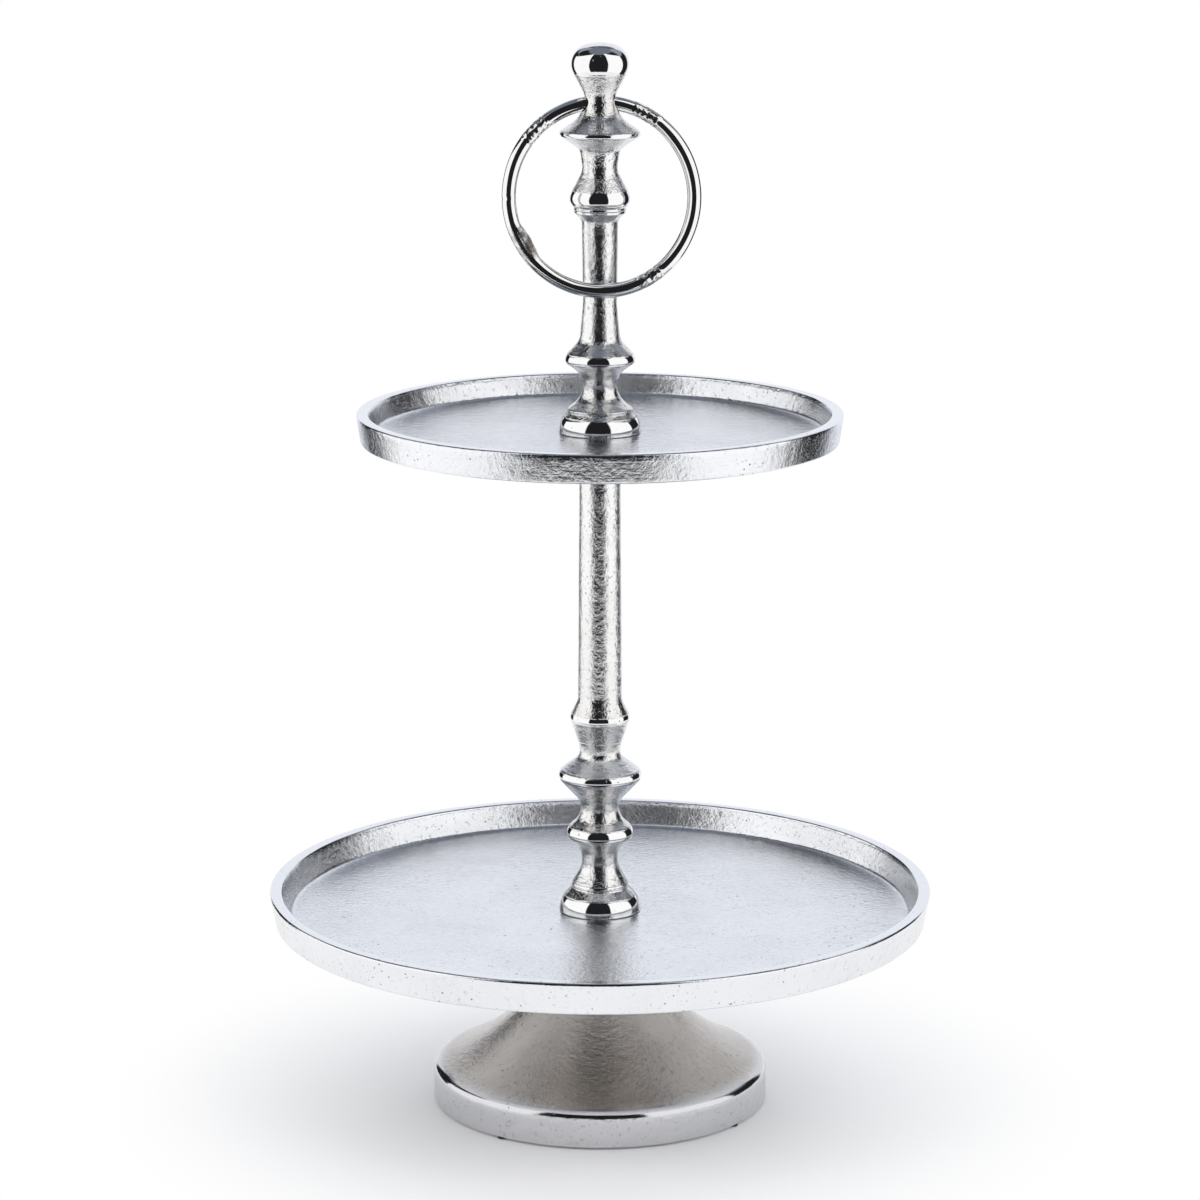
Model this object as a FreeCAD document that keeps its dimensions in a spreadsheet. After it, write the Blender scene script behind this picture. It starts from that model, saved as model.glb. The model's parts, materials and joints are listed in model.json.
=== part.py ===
import FreeCAD, Part
import math
import os
import re
import Sketcher

# A two-tier cake stand of sand-cast, nickel-plated aluminium: a trumpet foot, a wide tray, a turned
# column, a smaller tray, and a second turned column that ends in a ball finial with a ring handle.
# A bolt from below holds the foot, the lower tray and the lower column together; a stud joins the two
# columns through the upper tray.
#
# Frame: millimetres, +Z up, the origin on the table under the middle of the foot, -Y to the front.
# Every turned piece is drawn as half of its section, radius across and height up, and revolved.

# ---------------------------------------------------------------- driving dimensions, in the sheet

SIZES = dict(
    # Foot: a hollow trumpet with an upright skirt and a solid web at its top.
    pad_thickness=1.0, pad_diameter=6.0, pad_edge=0.3, pad_count=4,
    skirt_radius=83.8, skirt_edge=5.0, skirt_edge_height=15.0, skirt_land=6.8,
    flare_curve=142.0, foot_wall=4.5,
    foot_neck_radius=22.0, foot_neck_height=78.8, foot_neck_below=30.0, foot_neck_above=10.0,
    collar_radius=30.5, collar_curve=2.5, collar_height=91.6, web_thickness=10.0,
    # Trays: a flat floor, a sloping wall and a flat lip. Heights are above each tray's underside.
    lower_tray_base=94.3, lower_tray_radius=165.0, lower_tray_foot_radius=162.0,
    lower_tray_height=15.9, lower_tray_floor=3.0, lower_lip_width=6.0,
    upper_tray_base=335.4, upper_tray_radius=119.1, upper_tray_foot_radius=117.1,
    upper_tray_height=14.1, upper_tray_floor=3.8, upper_lip_width=5.8,
    wall_slope=19.0, floor_sweep=2.5, lip_edge=1.2, seat_margin=0.5, seat_depth=0.3,
    # Gaskets under the two columns.
    gasket_thickness=0.4, gasket_inset=0.8, gasket_bore=9.0,
    # Columns: full height of each, and the bores that take the fasteners.
    lower_column_height=238.0, upper_column_height=188.7, base_edge=0.3, collar_edge=2.5,
    bore_diameter=8.2, drill_tip=2.4,
    lower_bore_depth=26.0, lower_top_bore_depth=24.0, upper_bore_depth=27.0,
    # Fasteners, M8.
    clearance_diameter=9.0, thread_diameter=8.0, thread_pitch=1.25, thread_depth=0.7, thread_end=0.8,
    bolt_length=40.0, bolt_plain=10.0, head_flats=13.0, head_height=5.3, head_slope=30.0,
    flat_washer_diameter=16.0, flat_washer_thickness=1.6, washer_bore=8.4,
    spring_washer_diameter=12.7, spring_washer_thickness=2.0, spring_washer_gap=1.6,
    spring_washer_skew=15.0,
    stud_length=50.0, stud_below=22.0,
    # Ring handle: round rod, bent and welded, hung in a hole across the finial's neck.
    ring_curve=45.1, rod_radius=3.5, ring_rise=0.33, ring_hole_radius=4.4, ring_hole_height=159.8,
    ring_lean=7.8, weld_angle=209.0, weld_half_length=9.0, weld_half_width=3.8, weld_half_depth=4.0,
    weld_inset=1.4,
)

# Mouldings of the turned columns, from the bottom up. A bead bulges out and a cove curves in. Each
# has the radius and the height of its widest or narrowest point, and the radius of its curve below
# and above that point. Neighbours are joined by the straight line that touches both.
LOWER_MOULDINGS = (
    ("foot", "bead", 20.4, 0.6, 12.0, 12.0),
    ("quirk", "cove", 14.1, 12.4, 1.1, 1.1),
    ("rim", "bead", 14.3, 13.6, 1.0, 1.0),
    ("waist", "cove", 9.1, 25.6, 12.0, 12.0),
    ("knop", "bead", 16.8, 39.2, 2.8, 6.2),
    ("hollow", "cove", 9.7, 52.4, 9.4, 9.4),
    ("disc", "bead", 20.7, 69.3, 3.8, 3.8),
    ("dip", "cove", 10.2, 81.3, 4.3, 16.0),
    ("ring", "bead", 14.9, 98.8, 3.8, 3.8),
    ("stem", "cove", 11.0, 108.8, 4.5, 4.5),
    ("top", "cove", 10.2, 222.0, 6.8, 6.8),
    ("collar", "bead", 14.5, 233.6, 3.0, 3.0),
)
UPPER_MOULDINGS = (
    ("foot", "bead", 20.2, 0.7, 12.0, 12.0),
    ("quirk", "cove", 16.1, 10.2, 0.5, 0.5),
    ("rim", "bead", 16.3, 11.3, 0.5, 0.5),
    ("waist", "cove", 8.6, 22.8, 10.8, 10.8),
    ("knop", "bead", 17.3, 35.2, 1.4, 5.7),
    ("flare", "cove", 9.7, 48.5, 7.2, 7.2),
    ("stem", "cove", 8.4, 64.5, 30.0, 30.0),
    ("top", "cove", 8.9, 101.7, 4.5, 4.5),
    ("lace", "bead", 12.9, 107.9, 1.0, 1.0),
    ("groove", "cove", 12.7, 109.7, 0.5, 0.5),
    ("bulb", "bead", 14.8, 113.6, 3.9, 7.7),
    ("hollow", "cove", 8.7, 129.1, 8.5, 8.5),
    ("under", "cove", 9.6, 135.0, 4.8, 4.8),
    ("disc", "bead", 19.8, 145.3, 1.5, 1.5),
    ("neck", "cove", 7.7, 162.1, 14.6, 8.4),
    ("ball", "bead", 14.0, 178.5, 9.7, 9.7),
)


def moulding_sizes(prefix, mouldings):
    """The sheet names of one column's mouldings, with their values."""
    sizes = {}
    for name, _, radius, height, below, above in mouldings:
        sizes["%s_%s_radius" % (prefix, name)] = radius
        sizes["%s_%s_height" % (prefix, name)] = height
        sizes["%s_%s_below" % (prefix, name)] = below
        sizes["%s_%s_above" % (prefix, name)] = above
    return sizes


SIZES.update(moulding_sizes("lower", LOWER_MOULDINGS))
SIZES.update(moulding_sizes("upper", UPPER_MOULDINGS))

doc = FreeCAD.newDocument("cake_stand")
sheet = doc.addObject("Spreadsheet::Sheet", "sizes")
for row, (alias, value) in enumerate(SIZES.items(), start=1):
    sheet.set("A%d" % row, alias)
    sheet.set("B%d" % row, str(value))
    sheet.setAlias("B%d" % row, alias)
doc.recompute()


def in_sheet(text):
    """A formula in the sheet's names, written as FreeCAD expects it."""
    return re.sub(r"[a-z_]+", lambda word: "sizes." + word[0] if word[0] in SIZES else word[0], text)


def amount(text):
    """The value of a formula in the sheet's names."""
    value = sheet.evalExpression(in_sheet(text))
    return float(getattr(value, "Value", value))


def bind(feature, **formulas):
    """Ties a feature's own sizes to the sheet."""
    for name, text in formulas.items():
        feature.setExpression(name, in_sheet(text))


# ---------------------------------------------------------------- drawing helpers

def new_body(label, height="0"):
    """A body with its own label, lifted to its height above the table."""
    body = doc.addObject("PartDesign::Body", label)
    body.Label = label
    body.setExpression(".Placement.Base.z", in_sheet(height))
    return body


def origin_plane(body, role):
    return next(item for item in body.Origin.OriginFeatures if item.Role == role)


class Outline:
    """A sketch on one of a body's origin planes, whose edges are tied to the sheet as they are drawn.

    An edge's ends are named by (edge, end), where end 1 is its start and end 2 its finish. Arcs run
    anticlockwise from start to finish; end 3 is an arc's centre.
    """

    def __init__(self, body, name, plane="XZ_Plane"):
        self.sketch = body.newObject("Sketcher::SketchObject", name)
        self.sketch.AttachmentSupport = [(origin_plane(body, plane), "")]
        self.sketch.MapMode = "FlatFace"

    def line(self, start, finish):
        ends = (FreeCAD.Vector(start[0], start[1], 0), FreeCAD.Vector(finish[0], finish[1], 0))
        return self.sketch.addGeometry(Part.LineSegment(*ends), False)

    def arc(self, centre, radius, start, finish):
        """An arc from the direction of one point to the direction of another, anticlockwise."""
        angles = [math.atan2(point[1] - centre[1], point[0] - centre[0]) for point in (start, finish)]
        if angles[1] < angles[0]:
            angles[1] += 2 * math.pi
        circle = Part.Circle(FreeCAD.Vector(centre[0], centre[1], 0), FreeCAD.Vector(0, 0, 1), radius)
        return self.sketch.addGeometry(Part.ArcOfCircle(circle, *angles), False)

    def circle(self, x, y, radius):
        centre = FreeCAD.Vector(amount(x), amount(y), 0)
        edge = self.sketch.addGeometry(Part.Circle(centre, FreeCAD.Vector(0, 0, 1), amount(radius)), False)
        self.across(edge, 3, x)
        self.up(edge, 3, y)
        self.curve(edge, radius)
        return edge

    def require(self, kind, *where):
        self.sketch.addConstraint(Sketcher.Constraint(kind, *where))

    def tie(self, kind, where, text):
        index = self.sketch.addConstraint(Sketcher.Constraint(kind, *where, amount(text)))
        self.sketch.setExpression("Constraints[%d]" % index, in_sheet(text))

    def across(self, edge, end, text):
        """Sets the distance of an edge's end from the vertical axis."""
        if text == "0":
            self.require("PointOnObject", edge, end, -2)
        else:
            self.tie("DistanceX", (-1, 1, edge, end), text)

    def up(self, edge, end, text):
        """Sets the height of an edge's end above the horizontal axis."""
        if text == "0":
            self.require("PointOnObject", edge, end, -1)
        else:
            self.tie("DistanceY", (-1, 1, edge, end), text)

    def curve(self, edge, text):
        self.tie("Radius", (edge,), text)

    def meet(self, edge, end, other, other_end):
        self.require("Coincident", edge, end, other, other_end)

    def touch(self, edge, end, other, other_end):
        """The two ends meet and run on smoothly."""
        self.require("Tangent", edge, end, other, other_end)

    def corners(self, places):
        """Straight edges through places given as (across, up) formulas, each place fixed."""
        points = [(amount(x), amount(y)) for x, y in places]
        edges = [self.line(*pair) for pair in zip(points, points[1:])]
        for edge, following in zip(edges, edges[1:]):
            self.meet(edge, 2, following, 1)
        for edge, place in zip(edges, places):
            self.across(edge, 1, place[0])
            self.up(edge, 1, place[1])
        self.across(edges[-1], 2, places[-1][0])
        self.up(edges[-1], 2, places[-1][1])
        return edges

    def polygon(self, places):
        """A closed outline with straight edges."""
        edges = self.corners(places)
        start, finish = [(amount(x), amount(y)) for x, y in (places[0], places[-1])]
        last = self.line(finish, start)
        self.meet(edges[-1], 2, last, 1)
        self.meet(last, 2, edges[0], 1)


class Curve:
    """One arc of a turned outline that runs upwards: its centre, its radius and its two joints."""

    def __init__(self, kind, centre, radius):
        self.kind = kind
        self.centre = centre
        self.radius = radius
        self.joints = [None, None]
        # An arc is drawn anticlockwise, so a cove starts at its upper joint.
        self.lower_end, self.upper_end = (1, 2) if kind == "bead" else (2, 1)

    @property
    def signed(self):
        return self.radius if self.kind == "bead" else -self.radius

    def draw(self, outline):
        lower, upper = self.joints
        start, finish = (lower, upper) if self.kind == "bead" else (upper, lower)
        self.edge = outline.arc(self.centre, self.radius, start, finish)
        return self.edge


def side_by_side(first, second):
    """Where the straight run between two curves, one above the other, touches each of them."""
    across = second.centre[0] - first.centre[0]
    up = second.centre[1] - first.centre[1]
    turn = math.acos((first.signed - second.signed) / math.hypot(across, up))
    facing = math.atan2(up, across) - turn
    outward = (math.cos(facing), math.sin(facing))
    for curve, joint in ((first, 1), (second, 0)):
        curve.joints[joint] = tuple(c + curve.signed * way for c, way in zip(curve.centre, outward))


def turned_side(outline, prefix, mouldings, crown=None):
    """Draws a column's mouldings from the bottom up; gives the lowest and the highest curve.

    The side starts and ends at those curves' widest points, unless crown gives the last joint.
    """
    curves = []
    for name, kind, *_ in mouldings:
        size = {q: "%s_%s_%s" % (prefix, name, q) for q in ("radius", "height", "below", "above")}
        sign = "-" if kind == "bead" else "+"
        parts = ("below",) if amount(size["below"]) == amount(size["above"]) else ("below", "above")
        for part in parts:
            middle = "%s %s %s" % (size["radius"], sign, size[part])
            curve = Curve(kind, (amount(middle), amount(size["height"])), amount(size[part]))
            curve.size, curve.middle, curve.part = size, middle, part
            curves.append(curve)
    for first, second in zip(curves, curves[1:]):
        if second.part == "above":
            tip = (amount(second.size["radius"]), amount(second.size["height"]))
            first.joints[1] = second.joints[0] = tip
        else:
            side_by_side(first, second)
    for curve, joint in ((curves[0], 0), (curves[-1], 1)):
        curve.joints[joint] = (amount(curve.size["radius"]), amount(curve.size["height"]))
    if crown:
        curves[-1].joints[1] = crown(curves[-1])
    for curve in curves:
        edge = curve.draw(outline)
        outline.curve(edge, curve.size[curve.part])
        outline.up(edge, 3, curve.size["height"])
        if curve.part == "below":
            outline.across(edge, 3, curve.middle)
    for first, second in zip(curves, curves[1:]):
        if second.part == "above":
            outline.touch(first.edge, first.upper_end, second.edge, second.lower_end)
        else:
            run = outline.line(first.joints[1], second.joints[0])
            outline.touch(run, 1, first.edge, first.upper_end)
            outline.touch(run, 2, second.edge, second.lower_end)
    return curves[0], curves[-1]


def revolve(body, outline, name="turned"):
    """Turns an outline all the way round its upright axis."""
    feature = body.newObject("PartDesign::Revolution", name)
    feature.Profile = outline.sketch
    feature.ReferenceAxis = (outline.sketch, ["V_Axis"])
    feature.Angle = 360
    outline.sketch.Visibility = False
    return feature


def circle_edges(feature, radius, height):
    """The level round edges of a feature at a given radius and height in its body's own frame."""
    doc.recompute()
    found = []
    for number, edge in enumerate(feature.Shape.Edges, start=1):
        if edge.Degenerated:
            continue
        curve = edge.Curve
        if curve.TypeId != "Part::GeomCircle" or abs(abs(curve.Axis.z) - 1) > 1e-6:
            continue
        if abs(curve.Radius - radius) < 0.02 and abs(curve.Center.z - height) < 0.02:
            found.append("Edge%d" % number)
    if not found:
        raise RuntimeError("no edge at radius %.2f, height %.2f on %s" % (radius, height, feature.Name))
    return found


def soften(body, feature, radius, places):
    """Rounds the level round edges at places given as (radius, height)."""
    edges = []
    for place in places:
        edges += circle_edges(feature, amount(place[0]), amount(place[1]))
    dressed = body.newObject("PartDesign::Fillet", "softened")
    dressed.Base = (feature, edges)
    bind(dressed, Radius=radius)
    return dressed


# ---------------------------------------------------------------- foot

def make_foot():
    """A trumpet casting: skirt, long concave flare, neck and collar, hollow up to a web at the top."""
    body = new_body("foot")
    top = "lower_tray_base"
    outline = Outline(body, "section")

    skirt = Curve("bead", (amount("skirt_radius - skirt_edge"), amount("skirt_edge_height")),
                  amount("skirt_edge"))
    neck = Curve("cove", (amount("foot_neck_radius + foot_neck_below"), amount("foot_neck_height")),
                 amount("foot_neck_below"))
    throat = Curve("cove", (amount("foot_neck_radius + foot_neck_above"), amount("foot_neck_height")),
                   amount("foot_neck_above"))
    collar = Curve("bead", (amount("collar_radius - collar_curve"), amount("collar_height")),
                   amount("collar_curve"))

    # The flare's centre stands off the skirt's edge by both radii and off the neck by their difference.
    flare_radius = amount("flare_curve")
    apart = math.dist(skirt.centre, neck.centre)
    to_skirt = flare_radius + skirt.radius
    to_neck = flare_radius - neck.radius
    along = (apart ** 2 + to_skirt ** 2 - to_neck ** 2) / (2 * apart)
    away = math.sqrt(to_skirt ** 2 - along ** 2)
    way = [(n - s) / apart for n, s in zip(neck.centre, skirt.centre)]
    centre = (skirt.centre[0] + along * way[0] + away * way[1],
              skirt.centre[1] + along * way[1] - away * way[0])
    flare = Curve("cove", centre, flare_radius)

    def towards(start, target, distance):
        length = math.dist(start, target)
        return tuple(a + (b - a) * distance / length for a, b in zip(start, target))

    skirt.joints = [(amount("skirt_radius"), amount("skirt_edge_height")),
                    towards(skirt.centre, flare.centre, skirt.radius)]
    flare.joints = [skirt.joints[1], towards(flare.centre, neck.centre, flare.radius)]
    waist = (amount("foot_neck_radius"), amount("foot_neck_height"))
    neck.joints = [flare.joints[1], waist]
    throat.joints[0] = waist
    side_by_side(throat, collar)
    collar.joints[1] = (amount("collar_radius"), amount("collar_height"))
    for curve in (skirt, flare, neck, throat, collar):
        curve.draw(outline)

    for curve, size in ((skirt, "skirt_edge"), (flare, "flare_curve"), (neck, "foot_neck_below"),
                        (throat, "foot_neck_above"), (collar, "collar_curve")):
        outline.curve(curve.edge, size)
    outline.across(skirt.edge, 3, "skirt_radius - skirt_edge")
    outline.up(skirt.edge, 3, "skirt_edge_height")
    outline.across(neck.edge, 3, "foot_neck_radius + foot_neck_below")
    outline.up(neck.edge, 3, "foot_neck_height")
    outline.up(throat.edge, 3, "foot_neck_height")
    outline.across(collar.edge, 3, "collar_radius - collar_curve")
    outline.up(collar.edge, 3, "collar_height")
    outline.touch(skirt.edge, skirt.upper_end, flare.edge, flare.lower_end)
    outline.touch(flare.edge, flare.upper_end, neck.edge, neck.lower_end)
    outline.touch(neck.edge, neck.upper_end, throat.edge, throat.lower_end)
    run = outline.line(throat.joints[1], collar.joints[0])
    outline.touch(run, 1, throat.edge, throat.upper_end)
    outline.touch(run, 2, collar.edge, collar.lower_end)

    # Inside, the wall keeps its thickness: each curve shares the outer curve's centre.
    wall = amount("foot_wall")
    inner_land = amount("skirt_radius - skirt_land")
    rise = math.sqrt((flare.radius + wall) ** 2 - (flare.centre[0] - inner_land) ** 2)
    meeting = (inner_land, flare.centre[1] - rise)
    inner_flare = Curve("cove", flare.centre, flare.radius + wall)
    inner_neck = Curve("cove", neck.centre, neck.radius + wall)
    inner_flare.joints = [meeting, towards(flare.centre, neck.centre, flare.radius + wall)]
    inner_neck.joints = [inner_flare.joints[1], (waist[0] - wall, waist[1])]
    for curve, outer in ((inner_flare, flare), (inner_neck, neck)):
        curve.draw(outline)
        outline.meet(curve.edge, 3, outer.edge, 3)
    outline.curve(inner_flare.edge, "flare_curve + foot_wall")
    outline.touch(inner_flare.edge, inner_flare.upper_end, inner_neck.edge, inner_neck.lower_end)

    # Straight edges: the land that the skirt stands on, the web and the bolt hole through it.
    bottom = amount("pad_thickness")
    under_web = top + " - web_thickness"
    land = outline.line((inner_land, bottom), (amount("skirt_radius"), bottom))
    outer_wall = outline.line((amount("skirt_radius"), bottom), skirt.joints[0])
    inner_wall = outline.line(meeting, (inner_land, bottom))
    outline.meet(land, 2, outer_wall, 1)
    outline.meet(inner_wall, 2, land, 1)
    outline.meet(inner_wall, 1, inner_flare.edge, inner_flare.lower_end)
    outline.touch(outer_wall, 2, skirt.edge, skirt.lower_end)
    outline.require("Vertical", outer_wall)
    outline.require("Vertical", inner_wall)
    outline.require("Horizontal", land)
    outline.up(land, 1, "pad_thickness")
    outline.across(land, 1, "skirt_radius - skirt_land")

    collar_side = outline.line(collar.joints[1], (amount("collar_radius"), amount(top)))
    outline.touch(collar_side, 1, collar.edge, collar.upper_end)
    outline.require("Vertical", collar_side)
    hole, inner_throat = amount("clearance_diameter / 2"), waist[0] - wall
    web = outline.corners([("clearance_diameter / 2", top), ("clearance_diameter / 2", under_web)])[0]
    top_face = outline.line((amount("collar_radius"), amount(top)), (hole, amount(top)))
    outline.meet(collar_side, 2, top_face, 1)
    outline.meet(top_face, 2, web, 1)
    outline.require("Horizontal", top_face)
    ceiling = outline.line((hole, amount(under_web)), (inner_throat, amount(under_web)))
    throat_wall = outline.line((inner_throat, amount(under_web)), inner_neck.joints[1])
    outline.meet(web, 2, ceiling, 1)
    outline.meet(ceiling, 2, throat_wall, 1)
    outline.require("Horizontal", ceiling)
    outline.require("Vertical", throat_wall)
    outline.touch(throat_wall, 2, inner_neck.edge, inner_neck.upper_end)
    revolve(body, outline)
    return body


def make_foot_pad(number):
    """A small rubber dot stuck to the skirt's land, one of four between the main axes."""
    body = new_body("foot_pad_%d" % number)
    turn = "(%d - 0.5) * 360 / pad_count" % number
    reach = "(skirt_radius - skirt_land / 2)"
    body.setExpression(".Placement.Base.x", in_sheet("%s * cos(%s)" % (reach, turn)))
    body.setExpression(".Placement.Base.y", in_sheet("%s * sin(%s)" % (reach, turn)))
    outline = Outline(body, "section")
    outline.polygon([("0", "0"), ("pad_diameter / 2", "0"), ("pad_diameter / 2", "pad_thickness"),
                     ("0", "pad_thickness")])
    soften(body, revolve(body, outline), "pad_edge", [("pad_diameter / 2", "0")])
    return body


# ---------------------------------------------------------------- trays

def make_tray(tier):
    """A round tray: flat floor, hollow sweep into a sloping wall, flat lip, tapered outside."""
    def size(name):
        return "%s_%s" % (tier, name)

    body = new_body(size("plate"), size("tray_base"))
    height, floor = size("tray_height"), size("tray_floor")
    lip_inside = "%s - %s" % (size("tray_radius"), size("lip_width"))
    wall_foot = "%s - (%s - %s) * tan(wall_slope)" % (lip_inside, height, floor)
    seat_radius = "%s + seat_margin" % size("foot_radius")
    seat = floor + " - seat_depth"
    hole = "clearance_diameter / 2"
    outline = Outline(body, "section")
    outline.polygon([(hole, "0"), (size("tray_foot_radius"), "0"), (size("tray_radius"), height),
                     (lip_inside, height), (wall_foot, floor), (seat_radius, floor), (seat_radius, seat),
                     (hole, seat)])
    turned = revolve(body, outline)
    swept = soften(body, turned, "floor_sweep", [(wall_foot, floor)])
    soften(body, swept, "lip_edge", [(size("tray_radius"), height), (lip_inside, height),
                                     (size("tray_foot_radius"), "0")])
    return body


def make_gasket(tier):
    """A thin washer that keeps a column's foot off the plated floor of its tray."""
    base = "{0}_tray_base + {0}_tray_floor - seat_depth".format(tier)
    body = new_body(tier + "_column_gasket", base)
    outer = "%s_foot_radius - gasket_inset" % tier
    outline = Outline(body, "section")
    outline.polygon([("gasket_bore / 2", "0"), (outer, "0"), (outer, "gasket_thickness"),
                     ("gasket_bore / 2", "gasket_thickness")])
    revolve(body, outline)
    return body


# ---------------------------------------------------------------- columns

def column_base(tier):
    return "{0}_tray_base + {0}_tray_floor - seat_depth + gasket_thickness".format(tier)


def stand_on(outline, lowest, places):
    """Joins the foot of a turned side to straight edges that run down to its lower corner."""
    corner = (lowest.joints[0][0], 0.0)
    side = outline.line(corner, lowest.joints[0])
    outline.require("Vertical", side)
    outline.touch(side, 2, lowest.edge, lowest.lower_end)
    edges = outline.corners(places)
    finish = (amount(places[-1][0]), amount(places[-1][1]))
    sole = outline.line(finish, corner)
    outline.meet(edges[-1], 2, sole, 1)
    outline.meet(sole, 2, side, 1)
    outline.require("Horizontal", sole)
    return edges[0]


def make_lower_column():
    """The lower column: turned mouldings, a long plain stem and a collar under the upper tray."""
    body = new_body("lower_column", column_base("lower"))
    outline = Outline(body, "section")
    lowest, highest = turned_side(outline, "lower", LOWER_MOULDINGS)
    bore, height = "bore_diameter / 2", "lower_column_height"
    top_floor = height + " - lower_top_bore_depth"
    first = stand_on(outline, lowest, [
        (bore, height), (bore, top_floor), ("0", top_floor + " - drill_tip"),
        ("0", "lower_bore_depth + drill_tip"), (bore, "lower_bore_depth"), (bore, "0")])
    rim = (amount("lower_collar_radius"), amount(height))
    side = outline.line(highest.joints[1], rim)
    outline.touch(side, 1, highest.edge, highest.upper_end)
    outline.require("Vertical", side)
    crown = outline.line(rim, (amount(bore), amount(height)))
    outline.meet(side, 2, crown, 1)
    outline.meet(crown, 2, first, 1)
    outline.require("Horizontal", crown)
    turned = revolve(body, outline)
    rounded = soften(body, turned, "collar_edge", [("lower_collar_radius", height)])
    soften(body, rounded, "base_edge", [("lower_foot_radius", "0")])
    return body


def make_upper_column():
    """The upper column: turned mouldings, stem, disc and ball finial, pierced across for the ring."""
    body = new_body("upper_column", column_base("upper"))
    outline = Outline(body, "section")
    bore, height = "bore_diameter / 2", "upper_column_height"
    cap = {}

    def under_cap(ball):
        """The ball is a little flattened: a wider curve, centred on the axis, caps it."""
        rise = amount(height) - ball.centre[1]
        cap["radius"] = (ball.centre[0] ** 2 + rise ** 2 - ball.radius ** 2) / (2 * (rise - ball.radius))
        cap["centre"] = (0.0, amount(height) - cap["radius"])
        reach = cap["radius"] / (cap["radius"] - ball.radius)
        return tuple(c + (b - c) * reach for b, c in zip(ball.centre, cap["centre"]))

    lowest, ball = turned_side(outline, "upper", UPPER_MOULDINGS, under_cap)
    first = stand_on(outline, lowest, [
        ("0", height), ("0", "upper_bore_depth + drill_tip"), (bore, "upper_bore_depth"), (bore, "0")])
    crown = outline.arc(cap["centre"], cap["radius"], ball.joints[1], (0.0, amount(height)))
    outline.touch(ball.edge, ball.upper_end, crown, 1)
    outline.require("PointOnObject", crown, 3, -2)
    outline.meet(crown, 2, first, 1)
    turned = revolve(body, outline)
    softened = soften(body, turned, "base_edge", [("upper_foot_radius", "0")])
    doc.recompute()

    hole = Outline(body, "ring_hole", "YZ_Plane")
    hole.circle("0", "ring_hole_height", "ring_hole_radius")
    pierced = body.newObject("PartDesign::Pocket", "pierced")
    pierced.Profile = hole.sketch
    pierced.Type = 1
    pierced.Midplane = True
    hole.sketch.Visibility = False
    doc.recompute()
    if not pierced.Shape.Volume < softened.Shape.Volume - 100:
        raise RuntimeError("the ring hole cuts nothing")
    return body


# ---------------------------------------------------------------- fasteners

def pad(body, outline, length, name):
    """Raises an outline straight up to a length."""
    feature = body.newObject("PartDesign::Pad", name)
    feature.Profile = outline.sketch
    bind(feature, Length=length)
    outline.sketch.Visibility = False
    return feature


def cut_groove(body, outline, name):
    """Turns a hollow out of a body, all the way round its upright axis."""
    groove = body.newObject("PartDesign::Groove", name)
    groove.Profile = outline.sketch
    groove.ReferenceAxis = (outline.sketch, ["V_Axis"])
    groove.Angle = 360
    outline.sketch.Visibility = False
    return groove


def cut_threads(body, lowest, run):
    """Ring grooves at the thread's pitch, which stand for the helix, over a run of a rod."""
    outline = Outline(body, "groove")
    radius = "thread_diameter / 2"
    rim = radius + " + 0.2"
    outline.polygon([(rim, lowest), (rim, lowest + " + thread_pitch * 0.9"),
                     (radius + " - thread_depth", lowest + " + thread_pitch * 0.45")])
    groove = cut_groove(body, outline, "thread")
    doc.recompute()
    pattern = body.newObject("PartDesign::LinearPattern", "threads")
    pattern.Originals = [groove]
    pattern.Direction = (outline.sketch, ["V_Axis"])
    turns = int(amount(run) / amount("thread_pitch"))
    bind(pattern, Length="%d * thread_pitch" % (turns - 1))
    pattern.Occurrences = turns
    body.Tip = pattern


def make_foot_bolt():
    """The hexagon bolt that goes up through the foot and the tray into the lower column."""
    under_head = "lower_tray_base - web_thickness - flat_washer_thickness - spring_washer_thickness"
    body = new_body("foot_bolt", under_head + " - head_height")
    across_corners = "head_flats / cos(30) / 2"
    corner = amount(across_corners)
    hexagon = Outline(body, "hexagon", "XY_Plane")
    turns = [math.radians(60 * n) for n in range(7)]
    points = [(corner * math.cos(turn), corner * math.sin(turn)) for turn in turns]
    sides = [hexagon.line(*pair) for pair in zip(points, points[1:])]
    guide = hexagon.sketch.addGeometry(
        Part.Circle(FreeCAD.Vector(0, 0, 0), FreeCAD.Vector(0, 0, 1), corner), True)
    hexagon.meet(guide, 3, -1, 1)
    hexagon.curve(guide, across_corners)
    for side, following in zip(sides, sides[1:] + sides[:1]):
        hexagon.meet(side, 2, following, 1)
        hexagon.require("PointOnObject", side, 1, guide)
    for side in sides[1:]:
        hexagon.require("Equal", sides[0], side)
    hexagon.require("PointOnObject", sides[0], 1, -1)
    pad(body, hexagon, "head_height", "head")

    bevel = Outline(body, "bevel")
    start = "head_flats / 2 * 0.95"
    bevel.polygon([(start, "0"), (across_corners + " + 1", "0"),
                   (across_corners + " + 1", "(%s + 1 - %s) * tan(head_slope)" % (across_corners, start))])
    cut_groove(body, bevel, "bevelled")

    tip = "head_height + bolt_length"
    shank = Outline(body, "shank_section")
    shank.polygon([("0", "head_height - 1"), ("thread_diameter / 2", "head_height - 1"),
                   ("thread_diameter / 2", tip + " - thread_end"), ("thread_diameter / 2 - thread_end", tip),
                   ("0", tip)])
    revolve(body, shank, "shank")
    cut_threads(body, "head_height + bolt_plain", "bolt_length - bolt_plain - thread_end")
    return body


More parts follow.
